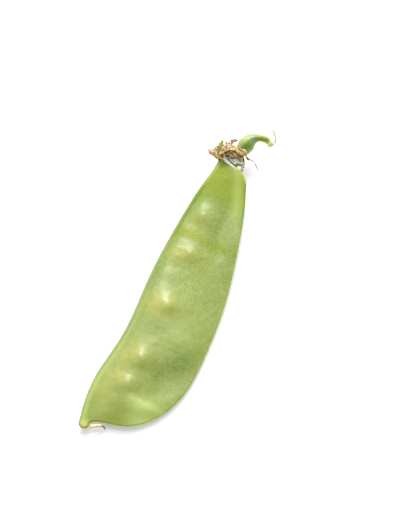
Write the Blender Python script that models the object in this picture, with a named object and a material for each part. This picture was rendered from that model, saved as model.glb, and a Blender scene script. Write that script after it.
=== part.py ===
"""A snow pea pod as picked, lying on its side: the flat green pod with its peas showing through as
bumps, the dried style on its beak, and at its neck the dried stamens, the dried calyx and the stalk.

Blender script, metres, +Z up. Sizes are given in millimetres in the pod's own frame: x runs from the
beak to the neck, y towards the suture that carries the peas, z up from what the pod lies on.
"""
import math

import bmesh
import bpy
import numpy as np
from mathutils import Vector

MM = 0.001

# The two sutures, paired across the pod from the beak to the neck: x, y, z of the one that carries
# the peas, then x, y, z of the plain one, which sags to the table along the pod's belly
SUTURES = (
    (-0.20, 0.05, 1.80, -0.15, -0.75, 1.80),
    (0.25, 0.85, 1.85, 0.35, -1.35, 1.75),
    (1.40, 1.25, 1.90, 1.70, -1.35, 1.65),
    (3.30, 1.70, 2.05, 2.80, -2.60, 1.60),
    (6.20, 2.30, 2.25, 3.45, -5.20, 1.50),
    (9.50, 2.75, 2.45, 4.55, -9.30, 1.40),
    (13.5, 2.95, 2.60, 8.00, -13.6, 1.25),
    (18.5, 2.65, 2.70, 14.5, -16.9, 1.10),
    (24.5, 2.15, 2.92, 22.5, -18.1, 1.00),
    (31.0, 2.20, 3.30, 31.0, -17.8, 0.98),
    (38.8, 2.95, 3.40, 38.8, -17.1, 1.10),
    (47.0, 3.65, 3.22, 47.0, -15.9, 1.50),
    (57.0, 3.95, 3.00, 56.5, -13.8, 2.10),
    (66.0, 3.90, 2.88, 65.0, -11.6, 2.60),
    (73.0, 3.60, 2.95, 72.0, -9.50, 2.90),
    (78.7, 2.95, 3.20, 77.2, -7.60, 3.05),
    (82.0, 2.60, 3.50, 81.2, -5.35, 3.30),
    (83.2, 2.35, 3.75, 82.7, -2.50, 3.60),
    (84.4, 1.60, 3.95, 83.7, -0.90, 3.90),
    (86.60, 0.45, 4.10, 85.50, -1.50, 4.05),
)
# Half the wall's thickness along x before the bumps, and how slowly it thins towards the plain suture
FLESH = ((0, 0.6), (4, 1.4), (8, 1.75), (14, 1.85), (30, 1.85), (45, 1.75), (57, 1.45), (70, 1.2),
         (76, 1.65), (80, 1.9), (82.5, 1.75), (84.5, 0.8), (87, 0.2))
THINNING = ((0, 4.0), (15, 5.5), (60, 5.5), (72, 4.0), (80, 1.8), (84, 1.5))
SEED_BEAD = ((0, 0.50), (6, 0.46), (20, 0.46), (40, 0.52), (55, 0.72), (75, 0.80), (84, 1.0))
PLAIN_BEAD = ((0, 0.45), (10, 0.30), (40, 0.26), (60, 0.32), (72, 0.42), (84, 0.8))
SEED_RISE = ((0, 3.4), (22, 3.8), (40, 2.4), (84, 2.2))     # how far in the flesh gains its thickness
PLAIN_RISE = 1.8                    # how far in from the plain suture the bumps fade
NECK_FROM, NECK_TO = 81.4, 84.0     # the flat pod becomes a round neck between these
NECK_RADIUS = 1.6

# The peas inside lift both valves: x and y, height and radius of the dome, then of the swell round it
PEAS = (
    (65.0, -1.3, 0.45, 2.1, 0.20, 4.5),
    (53.0, -3.4, 0.44, 2.2, 0.35, 4.4),
    (36.9, -4.5, 0.46, 2.2, 0.50, 5.5),
    (21.1, -5.0, 0.46, 2.1, 0.45, 4.4),
    (13.5, -4.9, 0.42, 2.0, 0.40, 4.0),
)
# The lower valve's flesh as a share of the upper one's along x: full where the pod bears on the table
UNDER_SHARE = ((0, 0.86), (6, 0.88), (14, 0.98), (22, 1.10), (30, 1.27), (37, 1.30), (45, 1.45), (53, 1.50),
               (62, 1.35), (74, 1.00), (84, 0.84))

# Dents and swells of the upper valve: x, y, radius along, radius across, turn in degrees, height
RELIEF = (
    (62.5, -7.9, 9.0, 2.6, 8.0, -0.80),
    (47.6, -1.6, 2.4, 3.0, 0.0, -0.30),
    (18.3, -12.6, 4.6, 4.6, 0.0, -1.00),
    (29.5, -12.5, 4.5, 5.0, 0.0, 0.65),
    (9.6, -10.8, 5.4, 2.2, -78.0, 0.50),
)
POD_STATIONS, POD_SIDES = 84, 40
FLOOR_FLAT = 0.0              # the soft skin is pressed flat where it meets the table

STYLE_ROUTE = ((0.90, -2.00, 1.72), (1.40, -2.52, 1.62), (1.92, -3.25, 1.50), (2.32, -4.00, 1.35),
               (2.32, -4.70, 1.18), (1.95, -5.05, 0.95))
STYLE_RADII = (0.45, 0.46, 0.42, 0.36, 0.32, 0.30)

CUP_BASE = (86.70, -0.89, 4.14)     # centre of the calyx's closed end, on its middle surface
CUP_AXIS = (-1.0, 0.58, -0.06)      # towards the pod
CUP_WALL = ((0.0, 1.3), (0.05, 2.25), (0.35, 2.75), (0.7, 2.95), (1.0, 3.0))
CALYX_THICKNESS = 0.6
LOBE_CURL = 0.75              # how far a dried lobe's edges curl up from its middle
# Dried lobes, of which the top one is torn in two: place round the neck (degrees from the top towards
# the seed suture), half width, length, lean from the cup's axis at the root and at the tip, sideways swing
CALYX_LOBES = (
    (8.0, 26.0, 4.3, 20.0, -30.0, 10.0),
    (58.0, 24.0, 2.4, 84.0, 92.0, 0.0),
    (110.0, 28.0, 4.8, 44.0, 34.0, -8.0),
    (174.0, 36.0, 1.8, 0.0, -25.0, 0.0),
    (245.0, 35.0, 1.9, 116.0, 135.0, 4.0),
    (311.0, 31.0, 3.9, 112.0, 146.0, -3.0),
)
SHEATH_BASE = (85.98, -0.44, 4.07)
SHEATH_WALL = ((0.0, 1.88), (0.4, 1.88), (0.8, 1.90), (1.2, 1.95))
STAMEN_THICKNESS = 0.6
# Dried stamens: place, half width, length, lean at the root and at the tip, sideways swing, and the
# width of the thread or strap that each ends in
STAMENS = (
    (226.0, 17.0, 2.2, 90.0, 105.0, 0.0, 0.62),
    (266.0, 23.0, 6.6, 86.0, 156.0, 0.0, 0.62),
    (309.0, 20.0, 1.7, 56.0, 66.0, 0.0, 0.9),
    (358.0, 30.0, 0.6, 0.0, 0.0, 0.0, 1.3),
    (418.0, 30.0, 1.8, 30.0, 60.0, 10.0, 0.62),
    (478.0, 30.0, 1.4, 45.0, 70.0, -8.0, 0.62),
)

STALK_ROUTE = ((87.37, -1.27, 4.20), (87.90, -1.56, 4.32), (88.60, -1.88, 4.68), (89.35, -2.15, 5.12),
               (90.15, -2.48, 5.50), (91.05, -3.05, 5.90), (91.90, -4.15, 6.25), (92.35, -5.50, 6.30),
               (92.55, -6.75, 5.95), (92.50, -7.65, 5.25), (92.20, -8.10, 4.65))
STALK_RADII = (1.70, 1.80, 1.98, 2.20, 2.10, 1.66, 1.12, 0.90, 0.85, 0.90, 1.02)
FIBRE_ROUTE = ((92.50, -7.90, 5.10), (93.10, -8.50, 5.25), (93.75, -8.60, 5.70), (94.35, -8.15, 6.45),
               (94.75, -7.60, 7.20), (94.90, -7.15, 7.80))
FIBRE_RADII = (0.34, 0.34, 0.33, 0.31, 0.30, 0.30)


def natural_spline(knots, at, steps):
    """Natural cubic through the knots (rows of values), whose places are at, read at steps."""
    values, at = np.atleast_2d(np.asarray(knots, float)), np.asarray(at, float)
    gap = np.diff(at)[:, None]
    slope = np.diff(values, axis=0) / gap
    count = len(at)
    matrix, right = np.eye(count), np.zeros_like(values)
    for i in range(1, count - 1):
        matrix[i, i - 1:i + 2] = gap[i - 1, 0], 2 * (gap[i - 1, 0] + gap[i, 0]), gap[i, 0]
        right[i] = 6 * (slope[i] - slope[i - 1])
    bend = np.linalg.solve(matrix, right)
    steps = np.clip(steps, at[0], at[-1])
    i = np.clip(np.searchsorted(at, steps) - 1, 0, count - 2)
    b = ((steps - at[i]) / gap[i, 0])[:, None]
    a = 1 - b
    curve = a * values[i] + b * values[i + 1]
    return curve + ((a ** 3 - a) * bend[i] + (b ** 3 - b) * bend[i + 1]) * gap[i] ** 2 / 6


def smooth_path(route, count, power=1.0):
    """Points spread evenly along a natural cubic through the route's points."""
    route = np.asarray(route, float)
    leg = np.linalg.norm(np.diff(route, axis=0), axis=1) ** power
    at = np.concatenate([[0.0], np.cumsum(leg)])
    return natural_spline(route, at, np.linspace(0.0, at[-1], count))


def profile(table, x):
    """A value that changes smoothly with x, from a table of (x, value)."""
    at, value = zip(*table)
    return natural_spline(np.array(value)[:, None], at, np.asarray(x, float))[:, 0]


def unit(v):
    """The vector or vectors at length 1."""
    return v / np.linalg.norm(v, axis=-1, keepdims=True)


def pod_half_thickness(x, y, from_seed, from_plain, width, under):
    """Half the pod's thickness at a point between the sutures, on the upper or the lower valve."""
    neck = np.clip((x - NECK_FROM) / (NECK_TO - NECK_FROM), 0, 1)
    neck = neck * neck * (3 - 2 * neck)
    beads = []
    for table, inside in ((SEED_BEAD, from_seed), (PLAIN_BEAD, np.minimum(from_seed, from_plain))):
        radius = np.minimum(profile(table, x), 0.48 * width)
        radius = radius * (1 - neck) + np.minimum(0.5 * width, NECK_RADIUS) * neck
        round_part = np.sqrt(np.clip(inside * (2 * radius - inside), 0, None))
        fall = radius * np.exp(-((inside - radius) / (0.85 * radius)) ** 2)
        beads.append(np.where(inside < radius, round_part, fall if table is SEED_BEAD else radius))
    rise = 1 - np.exp(-(from_seed / profile(SEED_RISE, x)) ** 1.3)
    flesh = profile(FLESH, x) * rise * (1 - np.exp(-from_plain / profile(THINNING, x)))
    rise = rise * (1 - np.exp(-(from_plain / PLAIN_RISE) ** 1.3)) * (1 - neck)
    for pea_x, pea_y, dome, dome_radius, swell, swell_radius in PEAS:
        away = (x - pea_x) ** 2 + (y - pea_y) ** 2
        flesh = flesh + rise * dome * np.exp(-away / dome_radius ** 2)
        flesh = flesh + rise * swell * np.exp(-away / swell_radius ** 2)
    for dent_x, dent_y, along, across, turn, height in ([] if under else RELIEF):
        c, s = math.cos(math.radians(turn)), math.sin(math.radians(turn))
        u = ((x - dent_x) * c + (y - dent_y) * s) / along
        v = ((y - dent_y) * c - (x - dent_x) * s) / across
        flesh = flesh + height * rise * np.exp(-u * u - v * v)
    if under:
        flesh = flesh * profile(UNDER_SHARE, x)
    return np.hypot(np.maximum(beads[0], beads[1]), flesh)


def pod_rings():
    """Closed rings of the pod's skin, one at each station from the beak to the end of the neck."""
    path = smooth_path(SUTURES, POD_STATIONS, power=0.8)
    seed, plain = path[:, :3], path[:, 3:]
    chord = plain - seed
    width = np.linalg.norm(chord, axis=1)
    along = unit(np.gradient((seed + plain) / 2, axis=0))
    up = unit(np.cross(chord, along))
    half = POD_SIDES // 2
    share = 0.5 * (1 - np.cos(np.pi * np.arange(half + 1) / half))
    sides = []
    for under in (False, True):
        place = seed[:, None] + chord[:, None] * share[None, :, None]
        x, y = place[..., 0].ravel(), place[..., 1].ravel()
        wide = np.repeat(width, half + 1)
        across = np.tile(share, len(width)) * wide
        thick = pod_half_thickness(x, y, across, wide - across, wide, under).reshape(-1, half + 1)
        side = -1.0 if under else 1.0
        sides.append(place + side * up[:, None] * thick[..., None])
    rings = np.concatenate([sides[0], sides[1][:, -2:0:-1]], axis=1)
    rings[..., 2] = np.maximum(rings[..., 2], FLOOR_FLAT)
    return rings


def tube_rings(route, radii, count, sides):
    """Round rings along a smooth route, whose radius follows the radii given at its points."""
    route, radii = np.asarray(route, float), np.asarray(radii, float)
    path = smooth_path(np.column_stack([route, radii]), count)
    centre, radius = path[:, :3], path[:, 3]
    along = unit(np.gradient(centre, axis=0))
    out = np.array(Vector(along[0]).orthogonal().normalized())
    angle = 2 * np.pi * np.arange(sides) / sides
    rings = []
    for place, tangent, size in zip(centre, along, radius):
        out = unit(out - tangent * (out @ tangent))
        side = np.cross(tangent, out)
        rings.append(place + size * (np.cos(angle)[:, None] * out + np.sin(angle)[:, None] * side))
    return np.array(rings)


def skin(name, rings):
    """A closed body whose skin runs through the rings, with a fan of faces on each end."""
    bm = bmesh.new()
    loops = [[bm.verts.new(Vector(p) * MM) for p in ring] for ring in rings]
    for lower, upper in zip(loops, loops[1:]):
        for i, vert in enumerate(lower):
            j = (i + 1) % len(lower)
            bm.faces.new((vert, lower[j], upper[j], upper[i]))
    for loop, ring in ((loops[0], rings[0]), (loops[-1], rings[-1])):
        tip = bm.verts.new(Vector(ring.mean(axis=0)) * MM)
        for i, vert in enumerate(loop):
            bm.faces.new((vert, loop[(i + 1) % len(loop)], tip))
    bmesh.ops.recalc_face_normals(bm, faces=bm.faces)
    return new_object(name, bm)


def lobed_sleeve(name, base, wall, lobes, columns, rows, closed_end):
    """A thin sleeve round the neck whose edge runs out into lobes, each with its own lean and swing.

    wall gives distance along the axis and radius from the end that is on the stalk's side. A lobe that
    is a thread or a strap has its width as a last value, and one without it narrows to a point.
    """
    origin = np.array(base)
    axis = unit(np.array(CUP_AXIS))
    top = unit(np.array((0.0, 0.0, 1.0)) - axis * axis[2])
    side = np.cross(top, axis)
    side = side if side[1] > 0 else -side

    def place(distance, radius, angle):
        out = top * math.cos(angle) + side * math.sin(angle)
        return Vector(origin + axis * distance + out * radius) * MM

    bm = bmesh.new()
    across = [(lobe, q) for lobe in lobes for q in np.linspace(-1, 1, columns + 1)[:-1]]
    total = sum(2 * lobe[1] for lobe in lobes)
    full = total > 359.0
    if not full:
        across.append((lobes[-1], 1.0))
    angles = [math.radians(lobe[0] + q * lobe[1]) for lobe, q in across]
    grid = [[bm.verts.new(place(distance, radius, a)) for a in angles] for distance, radius in wall]
    spans = len(angles) if full else len(angles) - 1
    for lower, upper in zip(grid, grid[1:]):
        for i in range(spans):
            j = (i + 1) % len(angles)
            bm.faces.new((lower[i], lower[j], upper[j], upper[i]))
    if closed_end:
        centre = bm.verts.new(place(wall[0][0], 0.0, 0.0))
        for i in range(spans):
            bm.faces.new((grid[0][(i + 1) % len(angles)], grid[0][i], centre))
    rim_distance, rim_radius = wall[-1]
    for number, (middle, half, length, lean_root, lean_tip, swing, *strap) in enumerate(lobes):
        first = number * columns
        previous = [grid[-1][(first + i) % len(angles)] for i in range(columns + 1)]
        distance, radius = rim_distance, rim_radius
        for row in range(1, rows + 1):
            t = row / rows
            lean = math.radians(lean_root + (lean_tip - lean_root) * t)
            distance += math.cos(lean) * length / rows
            radius += math.sin(lean) * length / rows
            narrow = (1 - t) ** 0.75
            reach = math.radians(half) * rim_radius * narrow
            if strap:
                reach = max(strap[0] / 2, reach * (1 - min(1.0, 3 * t)))
            turn = math.radians(middle + swing * t)
            curl = 0.0 if strap else LOBE_CURL * math.sin(math.pi * min(1.0, 1.25 * t))
            curl_in, curl_out = -math.sin(lean) * curl, math.cos(lean) * curl
            if t == 1 and not strap:
                tip = bm.verts.new(place(distance, radius, turn))
                for i in range(columns):
                    bm.faces.new((previous[i], previous[i + 1], tip))
                break
            current = [bm.verts.new(place(distance + curl_in * q * q, radius + curl_out * q * q,
                                          turn + q * reach / radius))
                       for q in np.linspace(-1, 1, columns + 1)]
            for i in range(columns):
                bm.faces.new((previous[i], previous[i + 1], current[i + 1], current[i]))
            previous = current
    bmesh.ops.recalc_face_normals(bm, faces=bm.faces)
    return new_object(name, bm)


def new_object(name, bm):
    """Make the object of a finished bmesh and put it in the scene, shaded smooth."""
    mesh = bpy.data.meshes.new(name)
    bm.to_mesh(mesh)
    bm.free()
    mesh.shade_smooth()
    made = bpy.data.objects.new(name, mesh)
    bpy.context.scene.collection.objects.link(made)
    return made


def thicken(made, thickness):
    """Give a sheet its thickness, half on each side."""
    solid = made.modifiers.new("Thickness", "SOLIDIFY")
    solid.thickness = thickness * MM
    solid.offset = 0.0


def finish(name, colour, roughness):
    """A material of the piece's own colour and roughness."""
    made = bpy.data.materials.new(name)
    made.use_nodes = True
    shader = made.node_tree.nodes["Principled BSDF"]
    shader.inputs["Base Color"].default_value = (*colour, 1.0)
    shader.inputs["Roughness"].default_value = roughness
    shader.inputs["Metallic"].default_value = 0.0
    return made


def clear_scene():
    """Empty the scene without closing the file."""
    for old in list(bpy.data.objects):
        bpy.data.objects.remove(old)


def pod():
    """The flat green pod in one piece, from its beak to its round neck."""
    made = skin("pod", pod_rings())
    made.data.materials.append(finish("fresh_pod", (0.39, 0.52, 0.11), 0.38))
    return made


def style():
    """The dried style, a hooked thread at the beak."""
    made = skin("style", tube_rings(STYLE_ROUTE, STYLE_RADII, 16, 8))
    made.data.materials.append(finish("dried_style", (0.75, 0.60, 0.36), 0.7))
    return made


def calyx():
    """The dried calyx: a shallow cup round the neck that ends in curled lobes."""
    made = lobed_sleeve("calyx", CUP_BASE, CUP_WALL, CALYX_LOBES, 4, 6, closed_end=True)
    thicken(made, CALYX_THICKNESS)
    made.data.materials.append(finish("dried_calyx", (0.42, 0.28, 0.09), 0.75))
    return made


def stamens():
    """The dried stamens: a split sheath round the neck, inside the calyx, that ends in threads."""
    made = lobed_sleeve("stamens", SHEATH_BASE, SHEATH_WALL, STAMENS, 2, 9, closed_end=False)
    thicken(made, STAMEN_THICKNESS)
    made.data.materials.append(finish("dried_stamens", (0.60, 0.58, 0.44), 0.7))
    return made


def stalk():
    """The stalk, thick at the calyx and slim past its bend, with a torn fibre at the cut end."""
    made = skin("stalk", tube_rings(STALK_ROUTE, STALK_RADII, 30, 14))
    made.data.materials.append(finish("fresh_stalk", (0.28, 0.42, 0.08), 0.45))
    fibre = skin("fibre", tube_rings(FIBRE_ROUTE, FIBRE_RADII, 12, 6))
    fibre.hide_render = True
    fibre.display_type = "WIRE"
    union = made.modifiers.new("Fibre", "BOOLEAN")
    union.operation = "UNION"
    union.solver = "EXACT"
    union.object = fibre
    return [made, fibre]


def stand_on_origin(pieces):
    """Hang the pieces on an empty that brings the middle of the pod's footprint to the origin."""
    bpy.context.view_layer.update()
    depsgraph = bpy.context.evaluated_depsgraph_get()
    corners = []
    for piece in pieces:
        if not piece.hide_render:
            shape = piece.evaluated_get(depsgraph).data
            corners += [tuple(vert.co) for vert in shape.vertices]
    low, high = np.min(corners, axis=0), np.max(corners, axis=0)
    holder = bpy.data.objects.new("pod_frame", None)
    bpy.context.scene.collection.objects.link(holder)
    holder.location = (-(low[0] + high[0]) / 2, -(low[1] + high[1]) / 2, -low[2])
    for piece in pieces:
        piece.parent = holder


def main():
    """Build every piece and stand them on the origin."""
    clear_scene()
    stand_on_origin([pod(), style(), calyx(), stamens(), *stalk()])


main()
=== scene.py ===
"""The look of a snow pea pod as picked, lying on its side on a pale floor under soft studio light.

Sizes are in millimetres in the pod's own frame: x runs from the beak to the neck, y towards the suture
that carries the peas, z up from what the pod lies on. A Grower moves every piece to the row's frame.
"""
import logging
import math
from dataclasses import dataclass
from enum import Enum

import bmesh
import bpy
import numpy as np
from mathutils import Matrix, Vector

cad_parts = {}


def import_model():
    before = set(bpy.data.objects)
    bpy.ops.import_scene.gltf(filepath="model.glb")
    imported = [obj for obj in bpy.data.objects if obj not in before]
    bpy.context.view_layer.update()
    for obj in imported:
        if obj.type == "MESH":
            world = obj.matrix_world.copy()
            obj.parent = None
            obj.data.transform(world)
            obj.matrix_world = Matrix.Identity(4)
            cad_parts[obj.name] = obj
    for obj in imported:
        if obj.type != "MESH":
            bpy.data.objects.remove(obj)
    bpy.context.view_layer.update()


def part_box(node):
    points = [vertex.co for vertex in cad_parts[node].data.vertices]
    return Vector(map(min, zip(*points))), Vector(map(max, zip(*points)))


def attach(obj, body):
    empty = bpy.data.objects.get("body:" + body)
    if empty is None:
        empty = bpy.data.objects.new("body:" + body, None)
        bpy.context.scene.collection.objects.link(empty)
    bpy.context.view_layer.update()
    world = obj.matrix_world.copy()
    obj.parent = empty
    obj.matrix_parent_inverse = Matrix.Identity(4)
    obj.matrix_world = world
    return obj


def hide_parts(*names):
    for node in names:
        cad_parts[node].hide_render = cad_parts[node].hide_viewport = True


MM = 0.001
LOG = logging.getLogger("snow_pea")
# An unevenness: its shortest and longest wave as shares of its wavelength, and the height of its crests
# before they are brought to about 1.
WAVE_SPREAD = (0.65, 1.5)
CREST = 1.6

Point = tuple[float, float, float]
Table = tuple[tuple[float, float], ...]
Rows = tuple[tuple[float, ...], ...]
Array = np.ndarray
Piece = bpy.types.Object
Tree = bpy.types.NodeTree
Material = bpy.types.Material


class Body(Enum):
    """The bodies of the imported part."""

    ROOT = "root"


class Valve(Enum):
    """The two halves of the pod's wall, by the way each one bulges from the sutures."""

    UPPER = 1.0
    LOWER = -1.0


# Shapes


def unit(v: Array) -> Array:
    """Return the vector or vectors at length 1."""
    return v / np.linalg.norm(v, axis=-1, keepdims=True)


def ease(low: float, high: float, value: Array) -> Array:
    """Return 0 below low, 1 above high and a smooth rise between; low may be the larger."""
    t = np.clip((value - low) / (high - low), 0, 1)
    return t * t * (3 - 2 * t)


def peak(value: Array, middle: float, width: float) -> Array:
    """Return a soft hump that is 1 at the middle and 0.37 a width away from it."""
    return np.exp(-((value - middle) / width) ** 2)


def window(start: float, full: float, fading: float, end: float, value: Array) -> Array:
    """Return 1 from full to fading, 0 outside start and end, and a smooth slope between."""
    return ease(start, full, value) * ease(end, fading, value)


def ovals(rows: Rows, place: Array) -> Array:
    """Return soft oval spots, one row each: x, y, radius along x, radius along y and strength give one."""
    return np.array([strength * peak(place[:, 0], x, along) * peak(place[:, 1], y, across)
                     for x, y, along, across, strength in rows])


def natural_spline(knots: Array, at: Array, steps: Array) -> Array:
    """Read a natural cubic through some knots.

    Args:
        knots: one row of values for each knot.
        at: the knots' places, rising.
        steps: the places to read.

    Returns:
        One row of values for each step.
    """
    values, at = np.atleast_2d(np.asarray(knots, float)), np.asarray(at, float)
    gap = np.diff(at)[:, None]
    slope = np.diff(values, axis=0) / gap
    count = len(at)
    matrix, right = np.eye(count), np.zeros_like(values)
    for i in range(1, count - 1):
        matrix[i, i - 1:i + 2] = gap[i - 1, 0], 2 * (gap[i - 1, 0] + gap[i, 0]), gap[i, 0]
        right[i] = 6 * (slope[i] - slope[i - 1])
    bend = np.linalg.solve(matrix, right)
    steps = np.clip(steps, at[0], at[-1])
    i = np.clip(np.searchsorted(at, steps) - 1, 0, count - 2)
    b = ((steps - at[i]) / gap[i, 0])[:, None]
    a = 1 - b
    curve = a * values[i] + b * values[i + 1]
    return curve + ((a ** 3 - a) * bend[i] + (b ** 3 - b) * bend[i + 1]) * gap[i] ** 2 / 6


def smooth_path(route: Array, count: int, power: float = 1.0) -> Array:
    """Return count points along a natural cubic through the route, spread by leg length to a power."""
    route = np.asarray(route, float)
    leg = np.linalg.norm(np.diff(route, axis=0), axis=1) ** power
    at = np.concatenate([[0.0], np.cumsum(leg)])
    return natural_spline(route, at, np.linspace(0.0, at[-1], count))


def profile(table: Table, x: Array) -> Array:
    """Return the value at each x of a smooth curve through a table of (x, value)."""
    at, value = zip(*table)
    return natural_spline(np.array(value)[:, None], at, np.asarray(x, float).ravel())[:, 0]


def unevenness(place: Array, wavelength: float, seed: int, waves: int = 26) -> Array:
    """Return a smooth random field, about -1 to 1, as grown surfaces have.

    Args:
        place: points in millimetres, one row each.
        wavelength: the usual distance between two swells, in millimetres.
        seed: picks the draw.
        waves: how many plane waves are added up.

    Returns:
        One value for each point.
    """
    draw = np.random.default_rng(seed)
    heading = unit(draw.normal(size=(waves, place.shape[-1])))
    length = wavelength * draw.uniform(*WAVE_SPREAD, size=waves)
    phase = draw.uniform(0, 2 * np.pi, size=waves)
    total = np.zeros(place.shape[:-1])
    for k in range(waves):
        total += np.sin(place @ heading[k] * (2 * np.pi / length[k]) + phase[k])
    return total / math.sqrt(waves / 2) / CREST


@dataclass
class Grower:
    """Puts meshes made in the pod's own frame into the row's frame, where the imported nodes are.

    Attributes:
        shift: from the pod's own frame to the row's, in millimetres.
    """

    shift: Array

    def grow(self, name: str, points: Array, faces: list, layers: dict[str, Array]) -> Piece:
        """Make an object from points and faces.

        Args:
            name: the piece's name.
            points: one row of x, y, z for each vertex, in millimetres in the pod's own frame.
            faces: tuples of vertex numbers.
            layers: named values, one for each vertex, that the piece's finish reads.

        Returns:
            The new object, shaded smooth and linked to the scene.
        """
        mesh = bpy.data.meshes.new(name)
        mesh.from_pydata(((points + self.shift) * MM).tolist(), [], faces)
        for layer, values in layers.items():
            mesh.attributes.new(layer, "FLOAT", "POINT").data.foreach_set("value", values.astype(np.float32))
        bm = bmesh.new()
        bm.from_mesh(mesh)
        bmesh.ops.recalc_face_normals(bm, faces=bm.faces)
        bm.to_mesh(mesh)
        bm.free()
        mesh.shade_smooth()
        made = bpy.data.objects.new(name, mesh)
        bpy.context.scene.collection.objects.link(made)
        return made


def ring_faces(count: int, sides: int) -> list:
    """Return the quads between rings of points, each ring closed on itself."""
    return [(a + i, a + (i + 1) % sides, a + sides + (i + 1) % sides, a + sides + i)
            for a in range(0, (count - 1) * sides, sides) for i in range(sides)]


def closed_skin(rings: Array) -> tuple[Array, list]:
    """Close rings of points into a body with a fan on each end.

    Args:
        rings: array of ring, point, coordinate.

    Returns:
        The points, those at the fans' middles last, and the faces.
    """
    count, sides = rings.shape[:2]
    points = np.concatenate([rings.reshape(-1, 3), [rings[0].mean(axis=0), rings[-1].mean(axis=0)]])
    faces = ring_faces(count, sides)
    last = (count - 1) * sides
    for i in range(sides):
        j = (i + 1) % sides
        faces.append((j, i, count * sides))
        faces.append((last + i, last + j, count * sides + 1))
    return points, faces


def with_ends(values: Array) -> Array:
    """Return values given by ring and point as one row for a closed skin, fan middles included."""
    return np.concatenate([values.ravel(), [values[0, 0], values[-1, 0]]])


def grid_faces(rows: int, columns: int, first: int = 0) -> list:
    """Return the quads of a grid of rows by columns points, numbered from first."""
    return [(first + r * columns + c, first + r * columns + c + 1,
             first + (r + 1) * columns + c + 1, first + (r + 1) * columns + c)
            for r in range(rows - 1) for c in range(columns - 1)]


def tube(route: Rows, radii: tuple[float, ...], count: int, sides: int,
         fluting: float, flutes: int) -> Array:
    """Sweep a ribbed ring along a smooth route.

    Args:
        route: the centre line's points in millimetres.
        radii: the radius at each of them.
        count: how many rings.
        sides: points in a ring.
        fluting: depth of lengthwise ribs, as a share of the radius.
        flutes: how many ribs.

    Returns:
        Array of ring, point, coordinate.
    """
    path = smooth_path(np.column_stack([np.asarray(route, float), radii]), count)
    centre, radius = path[:, :3], path[:, 3]
    along = unit(np.gradient(centre, axis=0))
    out = np.array(Vector(along[0]).orthogonal().normalized())
    angle = 2 * np.pi * np.arange(sides) / sides
    ribs = 1 + fluting * (np.cos(flutes * angle) - 1) / 2
    rings = []
    for place, tangent, size in zip(centre, along, radius):
        out = unit(out - tangent * (out @ tangent))
        side = np.cross(tangent, out)
        spokes = np.cos(angle)[:, None] * out + np.sin(angle)[:, None] * side
        rings.append(place + size * ribs[:, None] * spokes)
    return np.array(rings)


def thicken(piece: Piece, name: str, thickness: float) -> None:
    """Give a sheet a thickness in millimetres, half of it on each side."""
    solid = piece.modifiers.new(name, "SOLIDIFY")
    solid.thickness = thickness * MM
    solid.offset = 0.0


# Finishes


def linear(colour: str) -> tuple[float, float, float, float]:
    """Return an sRGB hex colour as linear RGBA."""
    parts = [int(colour[i:i + 2], 16) / 255 for i in (1, 3, 5)]
    return (*(p / 12.92 if p <= 0.04045 else ((p + 0.055) / 1.055) ** 2.4 for p in parts), 1.0)


def per_metre(size_mm: float) -> float:
    """Return the texture scale whose pattern repeats about every size_mm millimetres."""
    return 1000.0 / size_mm


def wire(tree: Tree, node: bpy.types.Node, inputs: dict) -> None:
    """Give a node's sockets, by name or number, their values or the sockets that feed them."""
    for key, value in inputs.items():
        if isinstance(value, bpy.types.NodeSocket):
            tree.links.new(value, node.inputs[key])
        else:
            node.inputs[key].default_value = value


def add(tree: Tree, kind: str, inputs: dict | None = None, **settings: object) -> bpy.types.Node:
    """Add a node with its settings and links.

    Args:
        tree: the node tree.
        kind: Blender's name for the node's type.
        inputs: socket name or number, to a value or to the socket that feeds it.
        settings: the node's own properties.

    Returns:
        The new node.
    """
    node = tree.nodes.new(kind)
    for key, value in settings.items():
        setattr(node, key, value)
    wire(tree, node, inputs or {})
    return node


def blank_material(name: str) -> tuple[Material, Tree, bpy.types.Node]:
    """Return a new material, its node tree and its Principled shader."""
    made = bpy.data.materials.new(name)
    made.use_nodes = True
    return made, made.node_tree, made.node_tree.nodes["Principled BSDF"]


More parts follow.
